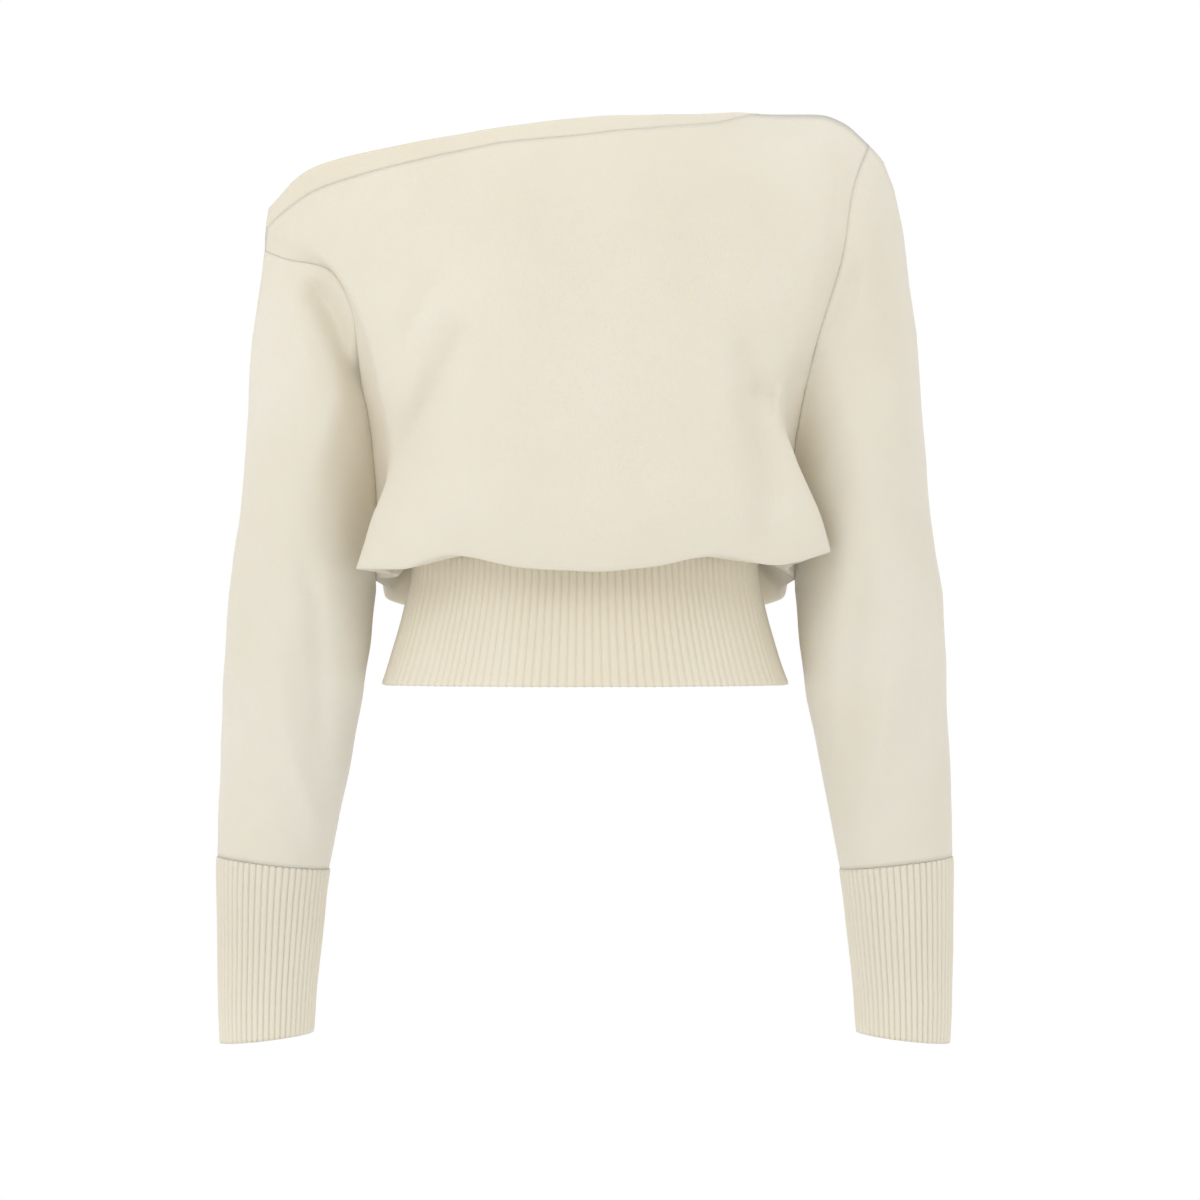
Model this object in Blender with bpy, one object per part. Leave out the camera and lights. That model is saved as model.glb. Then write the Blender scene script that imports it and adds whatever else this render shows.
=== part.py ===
"""A cropped knit sweater in its worn, hollow form, with batwing sleeves.

It is cut as a front, a back, two sleeves, two ribbed cuffs, a ribbed waistband and a neckband. The slash
neck sits on top of the wearer's left shoulder and has slipped off the right one, so the halves differ.
Front and back are bloused over the waistband, and the back hangs lower.

Frame: +Z up, the front faces -Y, and +X is the wearer's left. The origin is on the wearer's centre line,
level with the cloth's bearing on the left shoulder. Sizes are millimetres; meshes are made in metres.
"""

import math

import bpy
import numpy as np

MM = 0.001
WALL = 2.0  # thickness of the cloth
EDGE_PULL = 0.25  # how far each edge stands back from its seam line, along the cloth
SHARP_PULL = 6.0  # how many times further that is where two pieces meet edge to edge
CORNER_PULL = 7.0  # and where three or more pieces meet
CORNER_WALL = 0.2  # share of the wall's thickness left at a side corner, where the seams press it flat
CORNER_REACH = 48.0  # how far from such a corner the cloth has its whole thickness again

# Each panel is lofted through sections. A section is a row of points, one for each column below, from a
# side seam towards the centre line. Sections run from the neck and shoulder down to the blouse's lowest
# line; one more, at the top of the waistband, is worked out from WAIST_ANGLES.
COLUMNS = ("seam", "behind", "fold", "outer", "mid", "inner")

FRONT_LEFT_SIDE = (
    # seam, behind the fold, fold edge, outer, mid, inner
    ((183, 0, -20), (166, 0, -6), (150, 0, -1), (113, 0, 0), (84, -36, -9), (46, -61, -14)),
    ((170, -38, -52), (161, -44, -49), (152, -48, -45), (124, -56, -40), (84, -70, -42), (44, -79, -46)),
    ((163, -52, -95), (156, -60, -94), (148, -67, -93), (120, -78, -92), (82, -88, -92), (42, -95, -94)),
    ((149, -50, -140), (142, -62, -141), (134, -71, -142), (112, -86, -140), (80, -99, -140), (40, -106, -140)),
    ((138, -28, -190), (128, -49, -190), (123, -68, -190), (106, -87, -187), (78, -103, -184), (40, -109, -184)),
    ((134, -12, -222), (129, -36, -222), (132, -62, -222), (109, -87, -226), (78, -106, -225), (40, -112, -226)),
    ((135, -3, -262), (134, -28, -262), (149, -58, -262), (114, -89, -262), (78, -108, -262), (40, -115, -264)),
    ((135, 0, -300), (129, -24, -293), (155, -52, -282), (120, -85, -291), (84, -102, -285), (40, -112, -292)),
)
FRONT_RIGHT_SIDE = (
    ((-206, 0, -88), (-205.5, 0, -81), (-205, 0, -75), (-170, -47, -53), (-110, -69, -37), (-48, -75, -25)),
    ((-190, -26, -95), (-185, -34, -90), (-180, -43, -85), (-150, -66, -72), (-95, -80, -62), (-42, -85, -55)),
    ((-164, -44, -101), (-160, -53, -103), (-156, -61, -106), (-128, -78, -102), (-85, -92, -100), (-40, -97, -98)),
    ((-146, -48, -134), (-142, -58, -137), (-138, -68, -140), (-113, -86, -140), (-80, -100, -140), (-40, -106, -140)),
    ((-142, -32, -172), (-132, -53, -174), (-128, -69, -178), (-108, -88, -181), (-78, -103, -182), (-40, -109, -184)),
    ((-136, -13, -216), (-126, -38, -218), (-121, -64, -221), (-104, -88, -223), (-77, -105, -225), (-40, -112, -226)),
    ((-134, -4, -260), (-124, -29, -261), (-134, -60, -262), (-110, -89, -262), (-78, -107, -262), (-40, -115, -264)),
    ((-135, 0, -300), (-120, -25, -297), (-144, -54, -293), (-116, -85, -293), (-84, -102, -285), (-40, -112, -292)),
)
BACK_LEFT_SIDE = (
    ((183, 0, -20), (166, 0, -6), (150, 0, -1), (113, 0, 0), (84, 38, -9), (46, 58, -14)),
    ((176, 32, -52), (168, 44, -48), (152, 54, -45), (124, 64, -40), (84, 76, -42), (44, 82, -46)),
    ((170, 50, -95), (162, 62, -94), (150, 72, -93), (120, 84, -92), (82, 90, -92), (42, 93, -94)),
    ((164, 58, -140), (156, 70, -140), (146, 82, -140), (116, 95, -140), (80, 100, -140), (40, 102, -140)),
    ((156, 54, -185), (150, 69, -186), (142, 84, -188), (112, 101, -190), (80, 107, -190), (40, 110, -190)),
    ((144, 30, -222), (144, 52, -226), (140, 78, -232), (110, 103, -238), (80, 112, -240), (40, 116, -240)),
    ((138, 9, -262), (134, 34, -268), (135, 62, -275), (110, 100, -285), (80, 113, -288), (40, 119, -290)),
    ((135, 0, -300), (128, 22, -306), (129, 47, -311), (106, 82, -318), (78, 101, -322), (40, 110, -325)),
)
BACK_RIGHT_SIDE = (
    ((-206, 0, -88), (-205.5, 0, -81), (-205, 0, -75), (-170, 44, -53), (-110, 64, -37), (-48, 67, -25)),
    ((-198, 26, -100), (-192, 34, -92), (-186, 42, -85), (-150, 63, -72), (-95, 78, -62), (-42, 83, -55)),
    ((-184, 44, -118), (-176, 56, -112), (-164, 67, -106), (-128, 81, -102), (-85, 90, -100), (-40, 93, -98)),
    ((-172, 54, -150), (-162, 68, -148), (-150, 80, -146), (-117, 94, -142), (-80, 100, -140), (-40, 102, -140)),
    ((-160, 52, -190), (-152, 68, -190), (-142, 83, -190), (-112, 101, -190), (-80, 107, -190), (-40, 110, -190)),
    ((-145, 30, -225), (-144, 52, -228), (-140, 78, -233), (-110, 103, -238), (-80, 112, -240), (-40, 116, -240)),
    ((-138, 8, -262), (-132, 34, -268), (-135, 62, -275), (-110, 100, -285), (-80, 113, -288), (-40, 119, -290)),
    ((-135, 0, -300), (-127, 22, -306), (-129, 47, -311), (-106, 82, -318), (-78, 101, -322), (-40, 110, -325)),
)
FRONT_CENTRE = (
    (0, -74, -20), (0, -83, -50), (0, -94, -96), (0, -104, -140),
    (0, -109, -184), (0, -113, -226), (0, -116, -264), (0, -112, -295),
)
BACK_CENTRE = (
    (0, 66, -20), (0, 84, -50), (0, 93, -96), (0, 102, -140),
    (0, 111, -190), (0, 117, -240), (0, 121, -290), (0, 112, -326),
)
WAIST_ANGLES = (0, 10, 20, 42, 58, 74)  # degrees round the waist from the side seam, one for each column

# The waistband's rings, from the seam with the blouse down to the hem.
WAISTBAND = (
    # height, half width, half depth
    (-284, 110.5, 81.0),
    (-300, 111.6, 82.0),
    (-321, 116.0, 85.5),
    (-339, 121.0, 89.5),
    (-356, 126.0, 93.0),
    (-367.5, 130.0, 96.0),
)

BAND_DROP = 0.5  # how far the band's top stands under the middle of the cloth that is sewn to it
BAND_LAP = 2.2  # how far outside the band's own ring that cloth ends

# The neckband's free edge, from the left shoulder round the front; the seam edge is the panels' top.
NECK_EDGE_FRONT = ((98, 0, 0.5), (72, -34, -3.5), (38, -57, -6), (-4, -69, -9), (-50, -71, -15),
                   (-112, -65, -25), (-172, -44, -38), (-203, 0, -60))
NECK_EDGE_BACK = ((98, 0, 0.5), (72, 33, -3.5), (38, 52, -6), (-4, 60, -9), (-50, 62, -15),
                  (-112, 59, -25), (-172, 41, -38), (-203, 0, -60))

# The sleeves' outer and inner lines, seen from the front, for both arms.
OUTER_LINE = (
    # height, distance from the centre line
    (-20, 183), (-30, 192), (-48, 199), (-74, 204), (-109, 208), (-142, 213), (-191, 216), (-217, 218),
    (-262, 222), (-309, 229), (-355, 232), (-389, 233), (-455, 236), (-489, 236), (-573, 235), (-600, 234),
)
INNER_LINE = (
    (-300, 135), (-307, 135), (-342, 139), (-375, 144), (-390, 147), (-455, 159), (-484, 165), (-504, 168),
    (-533, 171), (-563, 174), (-592, 176),
)
# Rings of a sleeve, from the armhole seam to the cuff seam; they fan out from the underarm.
SLEEVE_RINGS = (
    # outer height on the left arm, on the right arm, inner height, depth to the front, to the back
    (-20, -88, -300, 50, 52),
    (-80, -125, -305, 51, 54),
    (-150, -175, -312, 52, 55),
    (-220, -228, -323, 50, 53),
    (-290, -290, -342, 47, 50),
    (-350, -350, -376, 44, 47),
    (-414, -414, -428, 41, 43),
    (-478, -478, -486, 38, 40),
)
CUFF_RINGS = (
    # outer height, inner height, depth to the front, to the back
    (-478, -486, 38, 40),
    (-510, -514, 36, 38),
    (-555, -553, 34, 36),
    (-598, -591, 33, 35),
)
SEAM_FADE = 3.6  # rings over which a sleeve leaves the armhole's outline for its own
PINCH = 0.8  # how far a sleeve's two layers close up at the underarm
WEDGE = 1.0  # how sharply they meet there, from round (0) to a wedge (1)
PINCH_FADE = 5.0  # rings over which they open again

ACROSS_STEPS = (2, 2, 3, 3, 2, 2)  # faces between one column and the next, seam to centre
DOWN_STEPS = 2  # faces between one section and the next
UNDER_STEPS = 3  # faces in the part turned under to the waistband


def along(table, at):
    """Points on a smooth curve through the table's rows, which never overshoots them; at counts rows."""
    rows = np.asarray(table, float)
    at = np.clip(np.asarray(at, float), 0, len(rows) - 1)
    steps = np.diff(rows, axis=0)
    before, after = steps[:-1], steps[1:]
    total = before + after
    same_way = before * after > 0
    inner = np.where(same_way, 2 * before * after / np.where(same_way, total, 1), 0)
    slopes = np.concatenate([steps[:1], inner, steps[-1:]])
    i = np.minimum(at.astype(int), len(rows) - 2)
    f = (at - i)[..., None]
    return (
        (2 * f**3 - 3 * f**2 + 1) * rows[i]
        + (f**3 - 2 * f**2 + f) * slopes[i]
        + (3 * f**2 - 2 * f**3) * rows[i + 1]
        + (f**3 - f**2) * slopes[i + 1]
    )


def soft_step(share):
    """0 up to 0, 1 from 1 on, and a smooth rise between."""
    share = np.clip(share, 0, 1)
    return share * share * (3 - 2 * share)


def at_height(line, heights):
    """How far a sleeve's outer or inner line is from the centre line at these heights."""
    table = np.asarray(line, float)[::-1]
    return np.interp(heights, table[:, 0], table[:, 1])


def waist_section(sign, facing):
    """The last section of half a panel, on the waistband's top ring, in the columns' order."""
    height, half_width, half_depth = WAISTBAND[0]
    width, depth = sign * (half_width + BAND_LAP), facing * (half_depth + BAND_LAP)
    return [(width * math.cos(a), depth * math.sin(a), height) for a in np.radians(WAIST_ANGLES)]


def panel_columns(right_side, centre, left_side, facing):
    """A panel's columns from the right side seam to the left one, each a line of points, top to bottom."""
    height, _, half_depth = WAISTBAND[0]
    right = [*right_side, waist_section(-1, facing)]
    left = [*left_side, waist_section(1, facing)]
    middle = [*centre, (0, facing * (half_depth + BAND_LAP), height)]
    columns = [[section[k] for section in right] for k in range(len(COLUMNS))]
    columns.append(middle)
    columns += [[section[k] for section in left] for k in reversed(range(len(COLUMNS)))]
    return columns


FRONT = panel_columns(FRONT_RIGHT_SIDE, FRONT_CENTRE, FRONT_LEFT_SIDE, -1)
BACK = panel_columns(BACK_RIGHT_SIDE, BACK_CENTRE, BACK_LEFT_SIDE, 1)
UNDERARM = len(FRONT_CENTRE) - 1  # the section at the underarm and the blouse's lowest line
NECK_FROM = COLUMNS.index("fold")  # the neckband's ends, counted in columns from the right side seam
NECK_TO = len(FRONT) - 1 - COLUMNS.index("outer")


def side_seam(column, down):
    """A side column: the armhole seam to the underarm, then a straight run in to the waistband."""
    armhole = along(column[: UNDERARM + 1], np.minimum(down, UNDERARM))
    under = np.clip(down - UNDERARM, 0, 1)[:, None]
    return armhole + under * (np.asarray(column[-1], float) - armhole)


def panel(columns, across, down):
    """Points of a panel at these columns and sections, as a grid with a row for each section."""
    lines = [along(column, down) for column in columns]
    lines[0] = side_seam(columns[0], down)
    lines[-1] = side_seam(columns[-1], down)
    lines = np.array(lines)
    return np.array([along(lines[:, k], across) for k in range(len(down))])


def sleeve(sign, round_front, rings):
    """Points of a sleeve: a row for each ring, from the outer line round the front, inside and back."""
    table = along(SLEEVE_RINGS, rings)
    outer_z = table[:, 0] if sign > 0 else table[:, 1]
    start = np.asarray(SLEEVE_RINGS[0], float)
    seam_at = -1 if sign > 0 else 0
    front_seam = side_seam(FRONT[seam_at], round_front * UNDERARM)
    back_seam = side_seam(BACK[seam_at], round_front * UNDERARM)
    fade = soft_step(1 - rings / SEAM_FADE)
    closing = soft_step(1 - rings / PINCH_FADE)

    def half(outer, inner, depth, closed):
        outer_x, inner_x = at_height(OUTER_LINE, outer), at_height(INNER_LINE, inner)
        wedge = WEDGE * closed[:, None] * round_front
        share = (1 - np.cos(math.pi * round_front)) / 2 * (1 - wedge) + round_front * wedge
        x = outer_x[:, None] + (inner_x - outer_x)[:, None] * share
        z = outer[:, None] + (inner - outer)[:, None] * share
        pinch = 1 - PINCH * closed[:, None] * share * share
        y = depth[:, None] * np.sin(math.pi * round_front) * pinch
        return np.stack([sign * x, y, z], axis=2)

    halves = []
    for seam, column, facing in ((front_seam, 3, -1), (back_seam, 4, 1)):
        own = half(outer_z, table[:, 2], facing * table[:, column], closing)
        first_outer = start[0:1] if sign > 0 else start[1:2]
        first = half(first_outer, start[2:3], facing * start[column : column + 1], closing[:1])[0]
        halves.append(own + fade[:, None, None] * (seam - first)[None])
    front_half, back_half = halves
    return np.concatenate([front_half[:, :-1], back_half[:, :0:-1]], axis=1)


def cuff(sign, round_front, rings):
    """Points of a cuff, ordered as the sleeve's last ring is."""
    outer, inner, front, back = along(CUFF_RINGS, rings).T[:, :, None]
    share = (1 - np.cos(math.pi * round_front)) / 2
    swell = np.sin(math.pi * round_front)
    outer_x, inner_x = at_height(OUTER_LINE, outer), at_height(INNER_LINE, inner)
    x = sign * (outer_x + (inner_x - outer_x) * share)
    z = outer + (inner - outer) * share
    front_half = np.stack([x, -front * swell, z], axis=2)
    back_half = np.stack([x, back * swell, z], axis=2)
    return np.concatenate([front_half[:, :-1], back_half[:, :0:-1]], axis=1)


def waistband(across, rings):
    """Points of the waistband: rings of its top outline, widened as they go down."""
    end = np.array([len(FRONT_CENTRE)], float)
    front = panel(FRONT, across, end)[0]
    back = panel(BACK, across, end)[0]
    outline = np.concatenate([front, back[-2:0:-1]])
    height, half_width, half_depth = along(WAISTBAND, rings).T
    height[0] -= BAND_DROP
    _, first_width, first_depth = WAISTBAND[0]
    return np.stack(
        [
            outline[None, :, 0] * (half_width / (first_width + BAND_LAP))[:, None],
            outline[None, :, 1] * (half_depth / (first_depth + BAND_LAP))[:, None],
            np.repeat(height[:, None], len(outline), axis=1),
        ],
        axis=2,
    )


def neckband(across, rings):
    """Points of the neckband: a row along the seam with both panels, then rows up to the free edge."""
    inside = (across >= NECK_FROM) & (across <= NECK_TO)
    at = across[inside]
    top = np.zeros(1)
    seam_front, seam_back = panel(FRONT, at, top)[0], panel(BACK, at, top)[0]
    edge_front = along(NECK_EDGE_FRONT[::-1], at - NECK_FROM)
    edge_back = along(NECK_EDGE_BACK[::-1], at - NECK_FROM)
    seam = np.concatenate([seam_front, seam_back[-2:0:-1]])
    edge = np.concatenate([edge_front, edge_back[-2:0:-1]])
    share = np.asarray(rings, float)[:, None, None]
    return seam[None] + share * (edge - seam)[None]


def corner_distance(points):
    """0 at a side corner (the underarm, or the waistband's side), 1 from CORNER_REACH away."""
    corners = [column[k] for column in (FRONT[0], FRONT[-1]) for k in (UNDERARM, UNDERARM + 1)]
    reach = np.min([np.linalg.norm(points - np.array(corner), axis=-1) for corner in corners], axis=0)
    return soft_step(reach / CORNER_REACH)


def grid_normals(points, loops, turned):
    """Unit normals of a grid of points; turned swaps the side that faces out."""
    if loops:
        across = np.roll(points, -1, axis=1) - np.roll(points, 1, axis=1)
    else:
        across = np.gradient(points, axis=1)
    down = np.gradient(points, axis=0)
    normals = np.cross(down, across) * (-1 if turned else 1)
    return normals / np.maximum(np.linalg.norm(normals, axis=2, keepdims=True), 1e-9)


def seam_key(point):
    """Points of two pieces on one seam share this key."""
    return tuple(np.round(point * 10).astype(int))


def edge_places(shape, loops):
    """Grid places on a piece's edges, each with the neighbour that lies inwards from it."""
    rows, columns = shape
    for j in range(columns):
        side = 0 if loops else (1 if j == 0 else -1 if j == columns - 1 else 0)
        yield (0, j), (1, (j + side) % columns)
        yield (rows - 1, j), (rows - 2, (j + side) % columns)
    if not loops:
        for i in range(1, rows - 1):
            yield (i, 0), (i, 1)
            yield (i, columns - 1), (i, columns - 2)


def share_seam_normals(pieces):
    """Pieces that meet at a seam get one normal there, so that their edges are mitred, not crossed."""
    sums, meeting = {}, {}
    for piece in pieces:
        for place, _ in edge_places(piece["points"].shape[:2], piece["loops"]):
            key = seam_key(piece["points"][place])
            sums[key] = sums.get(key, 0) + piece["normals"][place]
            meeting.setdefault(key, set()).add(piece["name"])
    for piece in pieces:
        piece["pull"] = {}
        for place, _ in edge_places(piece["points"].shape[:2], piece["loops"]):
            key = seam_key(piece["points"][place])
            shared = sums[key] / max(np.linalg.norm(sums[key]), 1e-9)
            bend = 1 - float(shared @ piece["normals"][place])
            near = 1 if len(meeting[key]) > 2 else 1 - corner_distance(piece["points"][place])
            far = 1 + (CORNER_PULL - 1) * near
            piece["pull"][place] = EDGE_PULL * (far + SHARP_PULL * bend) * piece["room"]
            piece["normals"][place] = shared


def pull_edges(piece):
    """Moves each edge back from its seam line, along the cloth."""
    points = piece["points"]
    moved = points.copy()
    for place, inwards in edge_places(points.shape[:2], piece["loops"]):
        step = points[inwards] - points[place]
        step -= piece["normals"][place] * (step @ piece["normals"][place])
        moved[place] = points[place] + step * (piece["pull"][place] / max(np.linalg.norm(step), 1e-9))
    piece["points"] = moved


def wall_faces(rows, columns, loops, turned):
    """Faces of a closed wall: the outer grid, then the inner grid, then the rims between them."""
    last = columns if loops else columns - 1
    size = rows * columns

    def place(i, j, inner=0):
        return inner * size + i * columns + j % columns

    faces = []
    for i in range(rows - 1):
        for j in range(last):
            outer = [place(i, j), place(i + 1, j), place(i + 1, j + 1), place(i, j + 1)]
            faces.append(outer)
            faces.append([p + size for p in reversed(outer)])
    for j in range(last):
        faces.append([place(0, j), place(0, j + 1), place(0, j + 1, 1), place(0, j, 1)])
        bottom = rows - 1
        faces.append([place(bottom, j + 1), place(bottom, j), place(bottom, j, 1), place(bottom, j + 1, 1)])
    if not loops:
        right = columns - 1
        for i in range(rows - 1):
            faces.append([place(i + 1, 0), place(i, 0), place(i, 0, 1), place(i + 1, 0, 1)])
            faces.append([place(i, right), place(i + 1, right), place(i + 1, right, 1), place(i, right, 1)])
    return [face[::-1] for face in faces] if turned else faces


def half_wall(points):
    """Half the cloth's thickness at each point, less near the side corners."""
    share = CORNER_WALL + (1 - CORNER_WALL) * corner_distance(points)
    return WALL / 2 * share[..., None]


def wall_object(piece):
    """One closed cloth wall, half its thickness to each side of the piece's points."""
    half = half_wall(piece["points"])
    rows, columns = piece["points"].shape[:2]
    outer = piece["points"] + piece["normals"] * half
    inner = piece["points"] - piece["normals"] * half
    vertices = np.concatenate([outer.reshape(-1, 3), inner.reshape(-1, 3)]) * MM
    mesh = bpy.data.meshes.new(piece["name"])
    faces = wall_faces(rows, columns, piece["loops"], piece["turned"])
    mesh.from_pydata(vertices.tolist(), [], faces)
    mesh.materials.append(piece["material"])
    mesh.validate()
    mesh.shade_smooth()
    made = bpy.data.objects.new(piece["name"], mesh)
    bpy.context.scene.collection.objects.link(made)
    return made


def knit_material(name, colour):
    """A matt cream knit."""
    material = bpy.data.materials.new(name)
    material.use_nodes = True
    shader = material.node_tree.nodes["Principled BSDF"]
    shader.inputs["Base Color"].default_value = (*colour, 1)
    shader.inputs["Roughness"].default_value = 0.9
    shader.inputs["Metallic"].default_value = 0.0
    return material


def steps_between(counts):
    """Places from 0 up, in whole columns, each split into as many steps as its count says."""
    places = [k + step / count for k, count in enumerate(counts) for step in range(count)]
    return np.array([*places, len(counts)], float)


def make_pieces():
    """Every cut piece, as a grid of points on the middle of its cloth."""
    across = steps_between([*ACROSS_STEPS, *reversed(ACROSS_STEPS)])
    armhole = steps_between([DOWN_STEPS] * UNDERARM)
    down = np.concatenate([armhole[:-1], UNDERARM + steps_between([UNDER_STEPS])])
    round_front = armhole / UNDERARM
    sleeve_rings = steps_between([DOWN_STEPS] * (len(SLEEVE_RINGS) - 1))
    cuff_rings = steps_between([1] * (len(CUFF_RINGS) - 1))
    band_rings = steps_between([1] * (len(WAISTBAND) - 1))
    jersey = knit_material("cream_jersey", (0.76, 0.71, 0.58))
    rib = knit_material("cream_rib", (0.74, 0.69, 0.56))
    rows = (
        # name, points, whether its columns close into a loop, whether its normals turn, its share of
        # the seam's room, material
        ("front", panel(FRONT, across, down), False, False, 1, jersey),
        ("back", panel(BACK, across, down), False, True, 1, jersey),
        ("sleeve_left", sleeve(1, round_front, sleeve_rings), True, True, 2, jersey),
        ("sleeve_right", sleeve(-1, round_front, sleeve_rings), True, False, 2, jersey),
        ("cuff_left", cuff(1, round_front, cuff_rings), True, True, 0.5, rib),
        ("cuff_right", cuff(-1, round_front, cuff_rings), True, False, 0.5, rib),
        ("waistband", waistband(across, band_rings), True, False, 1, rib),
        ("neckband", neckband(across, (0, 0.5, 1)), True, True, 1, rib),
    )
    names = ("name", "points", "loops", "turned", "room", "material")
    return [dict(zip(names, row)) for row in rows]


def build():
    for old in list(bpy.data.objects):
        bpy.data.objects.remove(old)
    pieces = make_pieces()
    for piece in pieces:
        piece["normals"] = grid_normals(piece["points"], piece["loops"], piece["turned"])
    share_seam_normals(pieces)
    for piece in pieces:
        pull_edges(piece)
        wall_object(piece)


build()
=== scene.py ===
"""The looks of the cropped knit sweater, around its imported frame."""

import math

import bpy
import numpy as np
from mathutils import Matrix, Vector


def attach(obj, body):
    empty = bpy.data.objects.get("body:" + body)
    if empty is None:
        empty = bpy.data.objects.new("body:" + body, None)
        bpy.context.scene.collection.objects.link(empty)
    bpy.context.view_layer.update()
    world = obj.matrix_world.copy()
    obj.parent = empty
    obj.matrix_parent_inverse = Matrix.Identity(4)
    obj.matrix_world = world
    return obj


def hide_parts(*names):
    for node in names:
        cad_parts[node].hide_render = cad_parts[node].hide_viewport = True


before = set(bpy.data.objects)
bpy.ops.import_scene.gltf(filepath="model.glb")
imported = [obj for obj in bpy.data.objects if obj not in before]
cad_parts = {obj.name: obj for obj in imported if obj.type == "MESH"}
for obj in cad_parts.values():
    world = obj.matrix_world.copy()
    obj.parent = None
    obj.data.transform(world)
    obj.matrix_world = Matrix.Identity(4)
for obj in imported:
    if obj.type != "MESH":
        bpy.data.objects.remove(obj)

MM = 0.001
WALL = 2.0  # thickness of the cloth
EDGE_PULL = 0.25  # how far each edge stands back from its seam line, along the cloth
SHARP_PULL = 6.0  # how many times further that is where two pieces meet edge to edge
CORNER_PULL = 7.0  # and where three or more pieces meet
CORNER_WALL = 0.2  # share of the wall's thickness left at a side corner, where the seams press it flat
CORNER_REACH = 48.0  # how far from such a corner the cloth has its whole thickness again

# Each panel is lofted through sections. A section is a row of points, one for each column below, from a
# side seam towards the centre line. Sections run from the neck and shoulder down to the blouse's lowest
# line; one more, at the top of the waistband, is worked out from WAIST_ANGLES.
COLUMNS = ("seam", "behind", "fold", "outer", "mid", "inner")

FRONT_LEFT_SIDE = (
    # seam, behind the fold, fold edge, outer, mid, inner
    ((183, 0, -20), (166, 0, -6), (150, 0, -1), (113, 0, 0), (84, -36, -9), (46, -61, -14)),
    ((170, -38, -52), (161, -44, -49), (152, -48, -45), (124, -56, -40), (84, -70, -42), (44, -79, -46)),
    ((163, -52, -95), (156, -60, -94), (148, -67, -93), (120, -78, -92), (82, -88, -92), (42, -95, -94)),
    ((149, -50, -140), (142, -62, -141), (134, -71, -142), (112, -86, -140), (80, -99, -140), (40, -106, -140)),
    ((138, -28, -190), (128, -49, -190), (123, -68, -190), (106, -87, -187), (78, -103, -184), (40, -109, -184)),
    ((134, -12, -222), (129, -36, -222), (132, -62, -222), (109, -87, -226), (78, -106, -225), (40, -112, -226)),
    ((135, -3, -262), (134, -28, -262), (149, -58, -262), (114, -89, -262), (78, -108, -262), (40, -115, -264)),
    ((135, 0, -300), (129, -24, -293), (155, -52, -282), (120, -85, -291), (84, -102, -285), (40, -112, -292)),
)
FRONT_RIGHT_SIDE = (
    ((-206, 0, -88), (-205.5, 0, -81), (-205, 0, -75), (-170, -47, -53), (-110, -69, -37), (-48, -75, -25)),
    ((-190, -26, -95), (-185, -34, -90), (-180, -43, -85), (-150, -66, -72), (-95, -80, -62), (-42, -85, -55)),
    ((-164, -44, -101), (-160, -53, -103), (-156, -61, -106), (-128, -78, -102), (-85, -92, -100), (-40, -97, -98)),
    ((-146, -48, -134), (-142, -58, -137), (-138, -68, -140), (-113, -86, -140), (-80, -100, -140), (-40, -106, -140)),
    ((-142, -32, -172), (-132, -53, -174), (-128, -69, -178), (-108, -88, -181), (-78, -103, -182), (-40, -109, -184)),
    ((-136, -13, -216), (-126, -38, -218), (-121, -64, -221), (-104, -88, -223), (-77, -105, -225), (-40, -112, -226)),
    ((-134, -4, -260), (-124, -29, -261), (-134, -60, -262), (-110, -89, -262), (-78, -107, -262), (-40, -115, -264)),
    ((-135, 0, -300), (-120, -25, -297), (-144, -54, -293), (-116, -85, -293), (-84, -102, -285), (-40, -112, -292)),
)
BACK_LEFT_SIDE = (
    ((183, 0, -20), (166, 0, -6), (150, 0, -1), (113, 0, 0), (84, 38, -9), (46, 58, -14)),
    ((176, 32, -52), (168, 44, -48), (152, 54, -45), (124, 64, -40), (84, 76, -42), (44, 82, -46)),
    ((170, 50, -95), (162, 62, -94), (150, 72, -93), (120, 84, -92), (82, 90, -92), (42, 93, -94)),
    ((164, 58, -140), (156, 70, -140), (146, 82, -140), (116, 95, -140), (80, 100, -140), (40, 102, -140)),
    ((156, 54, -185), (150, 69, -186), (142, 84, -188), (112, 101, -190), (80, 107, -190), (40, 110, -190)),
    ((144, 30, -222), (144, 52, -226), (140, 78, -232), (110, 103, -238), (80, 112, -240), (40, 116, -240)),
    ((138, 9, -262), (134, 34, -268), (135, 62, -275), (110, 100, -285), (80, 113, -288), (40, 119, -290)),
    ((135, 0, -300), (128, 22, -306), (129, 47, -311), (106, 82, -318), (78, 101, -322), (40, 110, -325)),
)
BACK_RIGHT_SIDE = (
    ((-206, 0, -88), (-205.5, 0, -81), (-205, 0, -75), (-170, 44, -53), (-110, 64, -37), (-48, 67, -25)),
    ((-198, 26, -100), (-192, 34, -92), (-186, 42, -85), (-150, 63, -72), (-95, 78, -62), (-42, 83, -55)),
    ((-184, 44, -118), (-176, 56, -112), (-164, 67, -106), (-128, 81, -102), (-85, 90, -100), (-40, 93, -98)),
    ((-172, 54, -150), (-162, 68, -148), (-150, 80, -146), (-117, 94, -142), (-80, 100, -140), (-40, 102, -140)),
    ((-160, 52, -190), (-152, 68, -190), (-142, 83, -190), (-112, 101, -190), (-80, 107, -190), (-40, 110, -190)),
    ((-145, 30, -225), (-144, 52, -228), (-140, 78, -233), (-110, 103, -238), (-80, 112, -240), (-40, 116, -240)),
    ((-138, 8, -262), (-132, 34, -268), (-135, 62, -275), (-110, 100, -285), (-80, 113, -288), (-40, 119, -290)),
    ((-135, 0, -300), (-127, 22, -306), (-129, 47, -311), (-106, 82, -318), (-78, 101, -322), (-40, 110, -325)),
)
FRONT_CENTRE = (
    (0, -74, -20), (0, -83, -50), (0, -94, -96), (0, -104, -140),
    (0, -109, -184), (0, -113, -226), (0, -116, -264), (0, -112, -295),
)
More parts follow.
